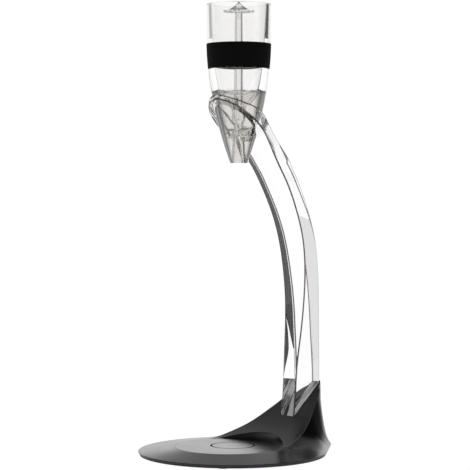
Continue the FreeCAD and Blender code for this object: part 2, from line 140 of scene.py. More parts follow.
# Cover screws
# Four zinc plated countersunk screws, sunk in the cover.
# They hold the cover to the posts inside the shell.

screw_steel = bare_metal("screw_steel", (0.62, 0.62, 0.64), roughness=0.3, spread=0.1, drawn=1.0)
finish_node("cover_screws", screw_steel)

# Base shell
# One moulding in black plastic with a satin, very finely grained skin. Its wall falls from the
# crease to the rim, and the slope climbs to the arm's seat behind the round flat place.

shell_low, shell_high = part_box("base_shell")
base_radius = 82.5 * mm
heel_radius = 44.5 * mm
front_x = shell_low.x + base_radius
heel_x = shell_high.x - heel_radius
heel_end = shell_high.x
shell_floor = shell_low.z
rim_top = shell_floor + 0.9 * mm
shell_wall = 2.2 * mm
slope_wall = 3.4 * mm
hollow_land = 8.0 * mm
rim_round = 0.35 * mm
edge_round = 0.5 * mm

# The round flat place. At the front its edge is drawn in, and the draw fades out towards the heel
flat_height = 7.9 * mm
flat_radius = 47.2 * mm
flat_x = front_x - 4.5 * mm
flat_draft = 0.25 * mm
front_draw, draw_end, draw_fade = 1.6 * mm, 2.0 * mm, 12.0 * mm

# The heel's top: its height, its end, half width and corner in plan. The heel's wall is swept in
# by a share that grows at the given rate on the way up the slope
heel_top = 57.6 * mm
top_end = heel_end - 1.7 * mm
top_half, top_corner = 10.0 * mm, 4.0 * mm
heel_sweep, sweep_rate = 0.45, 3.0

# Along the slope: distance in front of the heel's end, height, half width of the crease. Then
# the places in front of the slope where the top is level, in mm, and the directions from the
# flat's centre, in degrees, in which the crease follows the flat's circle
stations = np.array([
    (82.0, 8.6, 45.0), (70.0, 12.0, 41.5), (58.0, 16.4, 37.5), (46.0, 22.4, 32.9),
    (34.0, 30.6, 27.4), (22.0, 39.9, 21.2), (10.0, 50.2, 14.6),
]) * mm
level_places = (-30.0, -14.0, 2.0)
flat_angles = (180, 168, 156, 144, 132, 120, 110, 100)

# The ring groove, its section in shares of its width and depth, and the rings inside it
ring_radius, ring_width, ring_depth = 18.8 * mm, 1.6 * mm, 0.9 * mm
groove_land = 0.6 * ring_width
groove = [
    (0.5, 0.0), (0.46, -0.25), (0.42, -0.85), (0.34, -1.0),
    (-0.34, -1.0), (-0.42, -0.85), (-0.46, -0.25), (-0.5, 0.0),
]
middle_shares = (0.75, 0.4, 0.05)
hollow_shares = (0.6, 0.2, 0.02)

# How finely the shell is made
wall_levels, top_levels, flat_levels, round_rings = 34, 26, 8, 5
around_half, slope_samples = 260, 900
round_share = 0.6
crease_angle = math.radians(35.0)


def smooth_line(points, count, spare=0):
    """A natural cubic spline over chord length through the points, as count even samples.

    The spare points at either end guide the line and are left out of the samples."""
    p = np.array(points, float)
    steps = np.diff(p, axis=0)
    h = np.linalg.norm(steps, axis=1)
    t = np.concatenate([[0.0], np.cumsum(h)])
    n = len(t)
    inner = np.arange(1, n - 1)
    system = np.eye(n)
    system[inner, inner - 1] = h[:-1]
    system[inner, inner] = 2.0 * (h[:-1] + h[1:])
    system[inner, inner + 1] = h[1:]
    turn = np.zeros_like(p)
    turn[1:-1] = 6.0 * np.diff(steps / h[:, None], axis=0)
    bend = np.linalg.solve(system, turn)
    s = np.linspace(t[spare], t[n - 1 - spare], count)
    k = np.clip(np.searchsorted(t, s, side="right") - 1, 0, n - 2)
    w = h[k][:, None]
    past, left = (s - t[k])[:, None], (t[k + 1] - s)[:, None]
    cubic = (bend[k] * left ** 3 + bend[k + 1] * past ** 3) / (6.0 * w)
    from_left, from_right = p[k] / w - bend[k] * w / 6.0, p[k + 1] / w - bend[k + 1] * w / 6.0
    return cubic + from_left * left + from_right * past


slope_line = [(x * mm, flat_height) for x in level_places]
slope_line += [(heel_end - gap, height) for gap, height, _ in stations]
slope_line += [(top_end, heel_top)]
slope_x, slope_z = smooth_line(slope_line, slope_samples).T


def slope_height(x):
    """Height of the base's top at x: the flat place, then the spline of the slope."""
    return np.maximum(np.interp(x, slope_x, slope_z), flat_height)


def crease_line(inset):
    """Half of the wall's upper edge in plan, drawn in by the inset: the flat's circle, then
    along the slope's sides to the heel's top. Mirrored points guide it at both ends."""
    angle = np.radians(flat_angles)
    r = flat_radius - inset
    front = np.stack([flat_x + r * np.cos(angle), r * np.sin(angle)], axis=1)
    side = np.stack([heel_end - stations[:, 0], stations[:, 2] - inset], axis=1)
    end, half = top_end - inset, top_half - inset
    turn = np.radians([90, 45, 0])
    top = np.stack([end - top_corner + top_corner * np.cos(turn),
                    half - top_corner + top_corner * np.sin(turn)], axis=1)
    line = np.vstack([front, side, top, (end, 0.0)])
    flip = np.array([1.0, -1.0])
    line = np.vstack([line[2:0:-1] * flip, line, line[-2:-4:-1] * flip])
    return smooth_line(line, around_half, spare=2)


def unit(steps):
    """Each row divided by its length."""
    return steps / np.linalg.norm(steps, axis=1)[:, None]


def nearest_rim(p, inset):
    """The nearest point of the teardrop outline, drawn in by the inset, to each plan point: on
    the heel's circle, on the front's, or on the straight side that touches both."""
    lean = math.acos((base_radius - heel_radius) / (heel_x - front_x))
    out = np.array([math.cos(lean), math.sin(lean)])
    along = np.array([-math.sin(lean), math.cos(lean)])
    inset = np.broadcast_to(inset, len(p))[:, None]
    from_heel, from_front = p - (heel_x, 0.0), p - (front_x, 0.0)
    reach = base_radius - inset - (from_front @ out)[:, None]
    on_side = p + out * reach
    on_heel = (heel_x, 0.0) + unit(from_heel) * (heel_radius - inset)
    on_front = (front_x, 0.0) + unit(from_front) * (base_radius - inset)
    foot = np.where((from_heel @ along < 0.0)[:, None], on_heel, on_side)
    return np.where((from_front @ along > 0.0)[:, None], on_front, foot)


def lifted(plan, height):
    """Plan points at a height or heights, as points in space."""
    return np.column_stack([plan, np.broadcast_to(height, len(plan))])


def skin_rings(inset, drop, low, land, floor, floor_radius):
    """Half rings of points from the wall's foot over the crease to the round flat's edge.

    The wall: each crease point falls to its nearest rim point, its height a power of the way
    left, from 1 at the front to 1.45 at the heel. A land draws its foot in from the rim, or the
    shell's wall and half the way to the crease do where that is less. The top: a straight plan
    line from the crease to the flat's circle at the slope's height, then down to the floor."""
    crease = crease_line(inset)
    foot = nearest_rim(crease, 0.0)
    if land:
        half_gap = np.linalg.norm(foot - crease, axis=1) / 2.0
        foot = nearest_rim(crease, np.minimum(land, shell_wall + half_gap))
    top = slope_height(crease[:, 0]) - drop
    climb = (top + drop - flat_height) / (heel_top - flat_height)
    power = 1.0 + heel_sweep * np.minimum(1.0, sweep_rate * climb)
    rings = []
    for level in np.linspace(0.0, 1.0, wall_levels):
        rings.append(lifted(foot + (crease - foot) * level, low + (top - low) * level ** power))
    away = unit(crease - (flat_x, 0.0))
    inward = front_draw * np.clip((draw_end - crease[:, 0]) / draw_fade, 0.0, 1.0)
    circle = (flat_x, 0.0) + away * (floor_radius - inward)[:, None]
    for share in np.linspace(0.0, 1.0, top_levels)[1:]:
        plan = crease + (circle - crease) * share
        rings.append(lifted(plan, slope_height(plan[:, 0]) - drop))
    draft = circle - away * flat_draft
    rings.append(lifted(draft, np.minimum(floor, slope_height(draft[:, 0]) - drop)))
    return rings


def parabola(a, corner, b, count):
    """Even steps of the parabola from a to b that touches both lines to the corner."""
    return [a * (1 - t) ** 2 + corner * 2 * t * (1 - t) + b * t * t
            for t in np.linspace(0.0, 1.0, count)]


def rounded(rings, corner, reach):
    """Replaces the ring at a corner by several, on the parabola that touches both its sides at
    the reach, or at the largest share of a shorter side."""
    at, ends = rings[corner], []
    for beside in (rings[corner - 1], rings[corner + 1]):
        step = beside - at
        length = np.linalg.norm(step, axis=1)[:, None]
        ends.append(at + step / length * np.minimum(reach, length * round_share))
    return rings[:corner] + parabola(ends[0], at, ends[1], round_rings) + rings[corner + 1:]


def grid_faces(rows, columns):
    """Quads of a grid of rows that each close on themselves, wound one way."""
    r, c = np.meshgrid(np.arange(rows - 1), np.arange(columns), indexing="ij")
    n = (c + 1) % columns
    quads = np.stack([r * columns + c, r * columns + n,
                      (r + 1) * columns + n, (r + 1) * columns + c], axis=-1)
    return quads.reshape(-1, 4).tolist()


def closed_faces(rows, columns):
    """The quads of such a grid, then one face over its first row and one over its last."""
    first, last = range(columns), range((rows - 1) * columns, rows * columns)
    return grid_faces(rows, columns) + [list(first)[::-1], list(last)]


def add_piece(name, points, faces, material):
    """A new mesh piece with smooth faces, creased where two faces meet at a sharp angle."""
    mesh = bpy.data.meshes.new(name)
    mesh.from_pydata(points, [], faces)
    mesh.materials.append(material)
    mesh.shade_smooth()
    mesh.set_sharp_from_angle(angle=crease_angle)
    piece = bpy.data.objects.new(name, mesh)
    bpy.context.scene.collection.objects.link(piece)
    return piece


def paint(piece, faces, material):
    """Gives the faces with the given numbers a further material."""
    piece.data.materials.append(material)
    for face in faces:
        piece.data.polygons[face].material_index = len(piece.data.materials) - 1


def cut(piece, tool, operation="DIFFERENCE"):
    """Takes the tool from the piece, or joins or keeps what is common, and discards the tool."""
    step = piece.modifiers.new("cut", "BOOLEAN")
    step.operation = operation
    step.solver = "EXACT"
    step.object = tool
    graph = bpy.context.evaluated_depsgraph_get()
    made = bpy.data.meshes.new_from_object(piece.evaluated_get(graph))
    made.validate()
    piece.modifiers.clear()
    piece.data = made
    bpy.data.objects.remove(tool)
    made.set_sharp_from_angle(angle=crease_angle)


# Outside, from the rim's foot inwards. Three edges are rounded: pocket, crease and rim
outer = skin_rings(0.0, 0.0, rim_top, 0.0, flat_height, flat_radius)
outer = rounded(outer, len(outer) - 2, edge_round)
outer = rounded(outer, wall_levels - 1, edge_round)
rim_foot = lifted(outer[0][:, :2], shell_floor)
outer = rounded([rim_foot] + outer, 1, rim_round)

# The flat: circles that move from its own middle to the ring's, the groove, and its middle
last = outer[-1][:, :2] - (flat_x, 0.0)
last_radius = np.linalg.norm(last, axis=1)
facing = last / last_radius[:, None]
for share in np.linspace(0.0, 1.0, flat_levels)[1:-1]:
    centre = flat_x + (front_x - flat_x) * share
    radius = last_radius * (1.0 - share) + (ring_radius + groove_land) * share
    outer.append(lifted((centre, 0.0) + facing * radius[:, None], flat_height))
for across, down in groove:
    radius = ring_radius + across * ring_width
    outer.append(lifted((front_x, 0.0) + facing * radius, flat_height + down * ring_depth))
for share in middle_shares:
    outer.append(lifted((front_x, 0.0) + facing * (share * ring_radius), flat_height))

# Inside: the same skin, drawn in by the wall
hollow_top = flat_height - shell_wall
hollow = skin_rings(shell_wall, slope_wall, shell_floor, hollow_land, hollow_top,
                    flat_radius + shell_wall)
facing_in = hollow[-1][:, :2] - (flat_x, 0.0)
for share in hollow_shares:
    plan = (flat_x, 0.0) + facing_in * share
    hollow.append(lifted(plan, np.minimum(hollow_top, slope_height(plan[:, 0]) - slope_wall)))

rings = [np.vstack([half, half[-2:0:-1] * (1.0, -1.0, 1.0)]) for half in outer[::-1] + hollow]
rows, columns = len(rings), len(rings[0])
shell_black = grained("shell_black", (0.006, 0.006, 0.0063), roughness=0.21, spread=0.03,
                      grain=0.4 * mm, depth=0.01 * mm)
base_shell = add_piece("base_shell_skin", np.vstack(rings), closed_faces(rows, columns),
                       shell_black)

# The groove is matt and nearly black as painted shade in its recess, and the crease's rounded edge
# is paler as a painted highlight
groove_painted_shade = grained("groove_painted_shade", (0.002, 0.002, 0.002), roughness=0.8, spread=0.05,
                       grain=0.4 * mm, depth=0.04 * mm, lustre=0.05)
groove_ring = len(middle_shares)
paint(base_shell, range(groove_ring * columns, (groove_ring + len(groove) - 1) * columns),
      groove_painted_shade)
# Painted highlight: the crease's rounded strips are a paler grey for the light they catch
crease_painted_highlight = grained("crease_painted_highlight", (0.11, 0.11, 0.115), roughness=0.3, spread=0.05,
                     grain=0.4 * mm, depth=0.01 * mm)
crease_ring = len(outer) - 1 - (wall_levels + 2 * (round_rings - 1))
paint(base_shell, range(crease_ring * columns, (crease_ring + round_rings - 1) * columns),
      crease_painted_highlight)

# The seat for the arm's foot: a block along the slope is cut out of the heel
seat_front = np.array([heel_end - 37.4 * mm, 27.2 * mm])
seat_back = np.array([heel_end - 3.3 * mm, 56.5 * mm])
foot_half = 8.45 * mm
seat_gap = 0.15 * mm
block_height = 50.0 * mm
seat_along = (seat_back - seat_front) / np.linalg.norm(seat_back - seat_front)
seat_out = np.array([-seat_along[1], seat_along[0]])
corner_a, corner_b = seat_front - seat_along * seat_gap, seat_back + seat_along * seat_gap
rise = seat_out * block_height
block = np.array([(p[0], side * (foot_half + seat_gap), p[1]) for side in (-1, 1)
                  for p in (corner_a, corner_b, corner_b + rise, corner_a + rise)])
block_faces = [(0, 1, 2, 3), (7, 6, 5, 4), (0, 4, 5, 1), (1, 5, 6, 2), (2, 6, 7, 3), (3, 7, 4, 0)]
cut(base_shell, add_piece("seat_block", block, block_faces, shell_black))
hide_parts("base_shell")
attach(base_shell, "root")

# Arm
# One clear acrylic moulding: a curved bar with polished faces that widens into the ring.
# Its foot is bonded in the seat of the slope, and the ring is bored for the aerator's cone.

spout_x = (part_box("aerator_cup")[0].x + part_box("aerator_cup")[1].x) / 2.0
spout_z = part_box("aerator_skirt")[0].z

# Side view of the inner and the outer face: x out from the spout axis and height, in mm
arm_inner = [
    (60.6, 27.2), (62.6, 45.0), (64.3, 70.0), (67.6, 100.0), (69.9, 130.0), (69.2, 160.0),
    (64.2, 190.0), (54.8, 215.0), (41.1, 240.0), (30.5, 255.0), (6.2, 281.3),
    (-10.1, 295.3), (-26.8, 309.3), (-31.0, 313.0),
]
arm_outer = [
    (94.7, 56.5), (94.2, 75.0), (92.4, 100.0), (90.3, 130.0), (86.6, 160.0), (80.2, 190.0),
    (70.2, 215.0), (56.6, 240.0), (43.0, 260.5), (14.5, 289.5), (-1.1, 301.6),
    (-19.0, 309.3), (-31.0, 316.3),
]

# Front view: height and half width, in mm. The neck's place, half width and softness are in plan
arm_widths = [
    (27.2, 8.45), (45.0, 8.4), (70.0, 8.7), (100.0, 10.4), (130.0, 12.2), (160.0, 14.4),
    (190.0, 16.0), (215.0, 16.8), (240.0, 17.7), (258.0, 18.8), (285.0, 32.0), (330.0, 42.0),
]
neck_x, neck_half, neck_soft = 28.0 * mm, 18.4 * mm, 5.2 * mm
inner_edge, outer_edge = 1.2 * mm, 1.5 * mm
foot_gap = 0.06 * mm
least_half = 0.02 * mm

# The cone's outline, radius and height over the spout, and the ring round it
skirt_profile = np.array([(7.5, 0.0), (17.45, 31.4), (24.2, 62.8)]) * mm
ring_height, ring_wall, ring_gap = 54.7 * mm, 3.9 * mm, 0.12 * mm

# How finely the arm is made: stations along it, points over a face and over an edge
arm_stations, face_points, edge_points = 300, 10, 6
view_samples, width_samples = 4000, 400
face_hold = 0.02


def circle_through(a, b, c):
    """Centre and radius of the circle through three points of a plane."""
    d = 2.0 * (a[0] * (b[1] - c[1]) + b[0] * (c[1] - a[1]) + c[0] * (a[1] - b[1]))
    x = (a @ a * (b[1] - c[1]) + b @ b * (c[1] - a[1]) + c @ c * (a[1] - b[1])) / d
    y = (a @ a * (c[0] - b[0]) + b @ b * (a[0] - c[0]) + c @ c * (b[0] - a[0])) / d
    return x, y, math.hypot(a[0] - x, a[1] - y)


def arc_radius(three, height):
    """Radius at each height of a turned piece whose outline is the arc through three points."""
    x, y, r = circle_through(*three)
    return x + math.copysign(1.0, three[1][0] - x) * np.sqrt(r * r - (height - y) ** 2)


ring_out = float(arc_radius(skirt_profile, ring_height)) + ring_wall
touch = math.atan2(neck_half, neck_x) + math.acos(ring_out / math.hypot(neck_x, neck_half))
touch_x, touch_y = ring_out * math.cos(touch), ring_out * math.sin(touch)
neck_fall = (touch_y - neck_half) / (neck_x - touch_x)


def plan_half(x):
    """Half width in plan, x out from the spout axis: the ring's circle, its tangent towards the
    neck, and the neck's even width, the last two joined by a parabola."""
    circle = np.sqrt(np.maximum(ring_out ** 2 - x ** 2, 0.0))
    ahead = np.clip(neck_x + neck_soft - x, 0.0, 2.0 * neck_soft)
    bend = neck_half + neck_fall * ahead ** 2 / (4.0 * neck_soft)
    line = neck_half + neck_fall * (neck_x - x)
    straight = np.where(x < neck_x - neck_soft, line, bend)
    return np.where(x < touch_x, circle, straight)


width_z, width_half = smooth_line(np.array(arm_widths) * mm, width_samples).T


def arm_half(x, z):
    """Half width of the arm at a place of its side view: the narrower of front view and plan."""
    return np.minimum(plan_half(x), np.interp(z, width_z, width_half))


def side_stations(points):
    """A side view curve up to the ring's front, at even steps that close up towards the front."""
    line = smooth_line(np.array(points) * mm, view_samples)
    kept = line[line[:, 0] > -ring_out]
    front = np.array([-ring_out, np.interp(-ring_out, line[::-1, 0], line[::-1, 1])])
    kept = np.vstack([kept, front])
    length = np.concatenate([[0.0], np.cumsum(np.linalg.norm(np.diff(kept, axis=0), axis=1))])
    v = np.linspace(0.0, 1.0, arm_stations)
    at = (1.0 - (1.0 - v) ** 2) * length[-1]
    return np.column_stack([np.interp(at, length, kept[:, 0]), np.interp(at, length, kept[:, 1])])


def arm_mesh():
    """The bar as loops round it, one per station.

    A loop goes over the inner face, a quarter circle at the edge, the side, the next edge and
    the outer face, and back on the other side. On the side the half width follows the views. An
    edge's radius is at most 0.45 of the half width and 0.3 of the depth."""
    inner, outer = side_stations(arm_inner), side_stations(arm_outer)
    lift = seat_out * foot_gap - (spout_x, 0.0)
    inner[0], outer[0] = seat_front + lift, seat_back + lift
    across = outer - inner
    depth = np.linalg.norm(across, axis=1)[:, None]
    across /= depth
    thin = np.minimum(arm_half(*inner.T), arm_half(*outer.T))[:, None]
    room = np.minimum(0.45 * thin, 0.3 * depth)
    r, far = np.minimum(inner_edge, room), np.minimum(outer_edge, room)
    flat = np.linspace(0.0, 1.0, face_points)
    flat[0], flat[-1] = face_hold, 1.0 - face_hold
    side = r + (depth - r - far) * flat
    quarter = np.linspace(0.0, math.pi / 2.0, edge_points)
    near = 1.0 - np.cos(quarter)
    a = np.hstack([r * near, side, depth - far * near[::-1]])
    place = inner[:, None, :] + across[:, None, :] * a[:, :, None]
    half = arm_half(place[:, :, 0], place[:, :, 1])
    drawn = 1.0 - np.sin(quarter)
    pull = np.hstack([r * drawn, np.zeros_like(side), far * drawn[::-1]])
    y = np.maximum(half - pull, least_half)
    face = 2.0 * flat - 1.0
    over_inner = np.stack([np.repeat(inner[:, :1], face_points, 1), y[:, :1] * face,
                           np.repeat(inner[:, 1:], face_points, 1)], axis=-1)
    over_outer = np.stack([np.repeat(outer[:, :1], face_points, 1), y[:, -1:] * -face,
                           np.repeat(outer[:, 1:], face_points, 1)], axis=-1)
    left = np.stack([place[:, :, 0], y, place[:, :, 1]], axis=-1)
    right = left[:, ::-1] * (1.0, -1.0, 1.0)
    loops = np.concatenate([over_inner, left, over_outer, right], axis=1)
    loops[:, :, 0] += spout_x
    return loops


def full_turn(count):
    """Even directions round a full circle."""
    return np.linspace(0.0, 2.0 * math.pi, count, endpoint=False)


def turned_points(outline, count):
    """An outline of radius and height turned round the spout axis in count steps."""
    angle = full_turn(count)
    x = outline[:, :1] * np.cos(angle) + spout_x
    y = outline[:, :1] * np.sin(angle)
    z = np.repeat(outline[:, 1:], count, axis=1) + spout_z
    return np.stack([x, y, z], axis=-1).reshape(-1, 3)


def plug(name, profile, material, count=192):
    """A solid turned from an open outline, which runs with its solid on the left hand from one
    flat end disc to the other."""
    points = turned_points(np.array(profile), count)
    return add_piece(name, points, closed_faces(len(profile), count), material)


def arc(a, b, c, count=40):
    """Even samples of the arc through three points, from the first to the last."""
    a, b, c = np.array(a), np.array(b), np.array(c)
    x, y, r = circle_through(a, b, c)
    turns = np.unwrap([math.atan2(p[1] - y, p[0] - x) for p in (a, b, c)])
    angle = np.linspace(turns[0], turns[2], count)
    return list(zip(x + r * np.cos(angle), y + r * np.sin(angle)))


def clear_acrylic(name, tint, waviness, wave_size):
    """Polished clear acrylic: a plain refracting shader whose faces wave very slightly, as
    moulded ones do, by a slow noise of the given size."""
    material, tree, shader = fresh_material(name)
    shader.inputs["Base Color"].default_value = (*tint, 1.0)
    shader.inputs["Roughness"].default_value = 0.0
    shader.inputs["IOR"].default_value = 1.49
    shader.inputs["Transmission Weight"].default_value = 1.0
    place = tree.nodes.new("ShaderNodeTexCoord")
    wave = tree.nodes.new("ShaderNodeTexNoise")
    wave.inputs["Scale"].default_value = 1.0 / wave_size
    wave.inputs["Detail"].default_value = 0.0
    press = tree.nodes.new("ShaderNodeBump")
    press.inputs["Distance"].default_value = waviness
    tree.links.new(place.outputs["Object"], wave.inputs["Vector"])
    tree.links.new(wave.outputs["Fac"], press.inputs["Height"])
    tree.links.new(press.outputs["Normal"], shader.inputs["Normal"])
    return material


def streaked(name, dark, pale, across, along):
    """Cured adhesive seen through the foot: it shines like metal in pale and dark streaks, by a
    noise that is fine across the foot and drawn out along it."""
    material, tree, shader = fresh_material(name)
    shader.inputs["Roughness"].default_value = 0.35
    shader.inputs["Metallic"].default_value = 1.0
    place = tree.nodes.new("ShaderNodeTexCoord")
    stretch = tree.nodes.new("ShaderNodeMapping")
    stretch.inputs["Scale"].default_value = (1.0 / along, 1.0 / across, 1.0 / along)
    noise = tree.nodes.new("ShaderNodeTexNoise")
    noise.inputs["Scale"].default_value = 1.0
    noise.inputs["Detail"].default_value = 3.0
    ramp = tree.nodes.new("ShaderNodeValToRGB")
    ramp.color_ramp.elements[0].position = 0.42
    ramp.color_ramp.elements[0].color = (dark, dark, dark, 1.0)
    ramp.color_ramp.elements[1].position = 0.47
    ramp.color_ramp.elements[1].color = (pale, pale, pale, 1.0)
    tree.links.new(place.outputs["Object"], stretch.inputs["Vector"])
    tree.links.new(stretch.outputs["Vector"], noise.inputs["Vector"])
    tree.links.new(noise.outputs["Fac"], ramp.inputs["Fac"])
    tree.links.new(ramp.outputs["Color"], shader.inputs["Base Color"])
    return material


arm_clear = clear_acrylic("arm_clear", (0.985, 0.99, 0.99), waviness=0.06 * mm,
                          wave_size=30.0 * mm)
loops = arm_mesh()
rows, columns = loops.shape[:2]
arm_faces = [face[::-1] for face in closed_faces(rows, columns)]
stand_arm = add_piece("clear_arm", loops.reshape(-1, 3), arm_faces, arm_clear)

# The foot's end face is the last but one, and carries the adhesive
paint(stand_arm, [len(arm_faces) - 2],
      streaked("foot_bond", dark=0.01, pale=1.0, across=3.0 * mm, along=40.0 * mm))

# The four rounded edges bend the light from far aside; they are tinted dark as painted shade, as
# dark as they look
arm_edge_painted_shade = clear_acrylic("arm_edge_painted_shade", (0.02, 0.014, 0.011), waviness=0.06 * mm,
                          wave_size=30.0 * mm)
edge_starts = [(edge + 1) * face_points + edge * edge_points for edge in range(4)]
paint(stand_arm, [station * columns + start + strip for start in edge_starts
                  for station in range(rows - 1) for strip in range(edge_points - 1)], arm_edge_painted_shade)
bore = [(r + ring_gap, z) for r, z in arc(*skirt_profile)]
cut(stand_arm, plug("ring_bore", bore, arm_clear))
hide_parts("stand_arm")
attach(stand_arm, "root")

# Skirt
# The clear acrylic cone under the cup, turned to a slight bulge, with a round air inlet
# through its wall on either side. It drops into the arm's ring.

spout_radius = skirt_profile[0, 0]
seam_radius, seam_height = skirt_profile[-1]
skirt_wall, spout_wall = 2.6 * mm, 1.1 * mm
ledge = seam_height - 1.6 * mm
flange_seat = seam_radius - skirt_wall + 0.1 * mm
inlet_height, inlet_radius = 26.6 * mm, 3.0 * mm
body_tint = (0.972, 0.968, 0.962)
body_wave, body_wave_size = 0.02 * mm, 12.0 * mm
# The colour of the painted shade where clear walls are seen edge on
edge_painted_shade = (0.03, 0.028, 0.026)
smoke_tint, smoke_density = (0.42, 0.39, 0.35), 75.0


def held(profile, stretch=2.5 * mm, hold=0.15 * mm):
    """The outline with a point close to either end of each long straight stretch, so that the
    smooth shading of a rounded corner doesn't spread over the stretch."""
    line = np.array(profile)
    points = []
    for a, b in zip(line, np.roll(line, -1, axis=0)):
        length = np.linalg.norm(b - a)
        points.append(a)
        if length > stretch:
            step = (b - a) * hold / length
            points += [a + step, b - step]
    return np.array(points)


def turned(name, profile, material, count=192):
    """A turned piece from a closed outline that runs with its solid on the left hand."""
    outline = held(profile)
    rows = len(outline)
    r, c = np.meshgrid(np.arange(rows), np.arange(count), indexing="ij")
    below, n = (r + 1) % rows, (c + 1) % count
    quads = np.stack([r * count + c, r * count + n, below * count + n, below * count + c],
                     axis=-1)
    points = turned_points(outline, count)
    return add_piece(name, points, quads.reshape(-1, 4).tolist(), material)


def painted_edge_shade(material, face, edge, start, end):
    """Tints clear plastic from one colour to another where it is seen along its surface, as painted
    shade: by one less the cosine of the view angle, from the start to the end."""
    tree = material.node_tree
    slant = tree.nodes.new("ShaderNodeLayerWeight")
    slant.inputs["Blend"].default_value = 0.5
    shade = tree.nodes.new("ShaderNodeMapRange")
    shade.interpolation_type = "SMOOTHSTEP"
    shade.inputs["From Min"].default_value = start
    shade.inputs["From Max"].default_value = end
    tint = tree.nodes.new("ShaderNodeMix")
    tint.data_type = "RGBA"
    tint.inputs[6].default_value = (*face, 1.0)
    tint.inputs[7].default_value = (*edge, 1.0)
    tree.links.new(slant.outputs["Facing"], shade.inputs["Value"])
    tree.links.new(shade.outputs["Result"], tint.inputs[0])
    tree.links.new(tint.outputs[2], tree.nodes["Principled BSDF"].inputs["Base Color"])


def skirt_inside(gap):
    """The cone's inner arc from the spout up to the ledge, drawn in by a gap."""
    bottom = (spout_radius - spout_wall - gap, 0.0)
    middle = (float(arc_radius(skirt_profile, ledge / 2.0)) - skirt_wall - gap, ledge / 2.0)
    top = (float(arc_radius(skirt_profile, ledge)) - skirt_wall - gap, ledge)
    return bottom, middle, top


def side_tube(radius, start, end, count=64):
    """A closed cylinder along Y through the air inlets, between two distances from the axis."""
    angle = full_turn(count)
    x, z = spout_x + radius * np.cos(angle), spout_z + inlet_height + radius * np.sin(angle)
    points = np.vstack([np.column_stack([x, np.full(count, y), z]) for y in (start, end)])
    faces = [face[::-1] for face in closed_faces(2, count)]
    return add_piece("side_tube", points, faces, body_clear)


body_clear = clear_acrylic("body_clear", body_tint, body_wave, body_wave_size)
skirt_outline = arc(*skirt_profile) + [(flange_seat, seam_height), (flange_seat, ledge)]
skirt_outline += arc(*skirt_inside(0.0)[::-1])

# The cone is smoky in its depth, and painted shade darkens it where its wall is seen edge on
skirt_clear = clear_acrylic("skirt_clear", body_tint, body_wave, body_wave_size)
skirt_tree = skirt_clear.node_tree
smoke = skirt_tree.nodes.new("ShaderNodeVolumeAbsorption")
smoke.inputs["Color"].default_value = (*smoke_tint, 1.0)
smoke.inputs["Density"].default_value = smoke_density
skirt_tree.links.new(smoke.outputs["Volume"], skirt_tree.nodes["Material Output"].inputs["Volume"])
painted_edge_shade(skirt_clear, (0.96, 0.95, 0.94), edge_painted_shade, start=0.2, end=0.62)
aerator_skirt = turned("clear_skirt", skirt_outline, skirt_clear)
cut(aerator_skirt, side_tube(inlet_radius, -seam_radius, seam_radius))
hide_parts("aerator_skirt")
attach(aerator_skirt, "root")

# Nozzle
# One clear acrylic moulding inside the skirt: funnel, throat chamber, neck and diffuser, with
# two side tubes for the air. Its flange is clamped between the cup and the skirt.

nozzle_outer = np.array([
    (21.6, 62.8), (21.6, 61.23), (18.1, 61.23), (18.1, 60.5), (6.0, 46.9), (6.0, 37.6), (4.2, 35.0),
    (4.2, 31.4), (4.7, 30.0), (6.3, 0.0),
]) * mm
nozzle_inner = np.array([
    (4.9, 0.0), (3.1, 30.4), (2.6, 31.4), (2.6, 35.6), (4.4, 38.2), (4.4, 48.6), (16.4, 62.8),
]) * mm
throat_radius, throat_top = nozzle_inner[-2]
funnel_mouth = nozzle_inner[-1, 0]
inner_soft, outer_soft = 0.5 * mm, 0.4 * mm
corner_share = 0.45
tube_wall, tube_gap = 1.2 * mm, 0.1 * mm
bore_end, jet_radius, jet_lap = 4.3 * mm, 1.3 * mm, 0.2 * mm

# A core inside the nozzle's wall, which the side tubes end in
core_radius, core_low, core_high = 3.9 * mm, 15.0 * mm, 40.0 * mm


def eased(points, reach, count=4):
    """An open outline whose inner corners are rounded by parabolas of the given reach, or of the
    largest share of a shorter side."""
    line = [tuple(points[0])]
    for before, at, after in zip(points[:-2], points[1:-1], points[2:]):
        back, on = before - at, after - at
        a = at + back * min(corner_share, reach / np.linalg.norm(back))
        b = at + on * min(corner_share, reach / np.linalg.norm(on))
        line += [tuple(p) for p in parabola(a, at, b, count)]
    return line + [tuple(points[-1])]


inner_clear = clear_acrylic("inner_clear", body_tint, body_wave, body_wave_size)
# Painted shade darkens the nozzle, stem and cap where their walls are seen edge on
painted_edge_shade(inner_clear, body_tint, edge_painted_shade, start=0.4, end=0.8)
nozzle_outline = eased(nozzle_inner, inner_soft) + eased(nozzle_outer, outer_soft)
venturi_nozzle = turned("clear_nozzle", nozzle_outline[::-1], inner_clear)
tube_outer = side_tube(inlet_radius + tube_wall, -seam_radius, seam_radius)
cut(tube_outer, plug("skirt_space", arc(*skirt_inside(tube_gap)), body_clear), "INTERSECT")
cut(tube_outer, plug("tube_core", [(core_radius, core_low), (core_radius, core_high)], body_clear))
cut(venturi_nozzle, tube_outer, "UNION")
cut(venturi_nozzle, side_tube(inlet_radius, bore_end, seam_radius))
cut(venturi_nozzle, side_tube(inlet_radius, -seam_radius, -bore_end))
cut(venturi_nozzle, side_tube(jet_radius, -bore_end - jet_lap, bore_end + jet_lap, 32))
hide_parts("venturi_nozzle")
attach(venturi_nozzle, "root")

# Cup
# The thick clear acrylic reservoir, turned inside and out, with a shallow groove round it for
# the grip band. It sits on the nozzle's flange and the skirt's top edge.

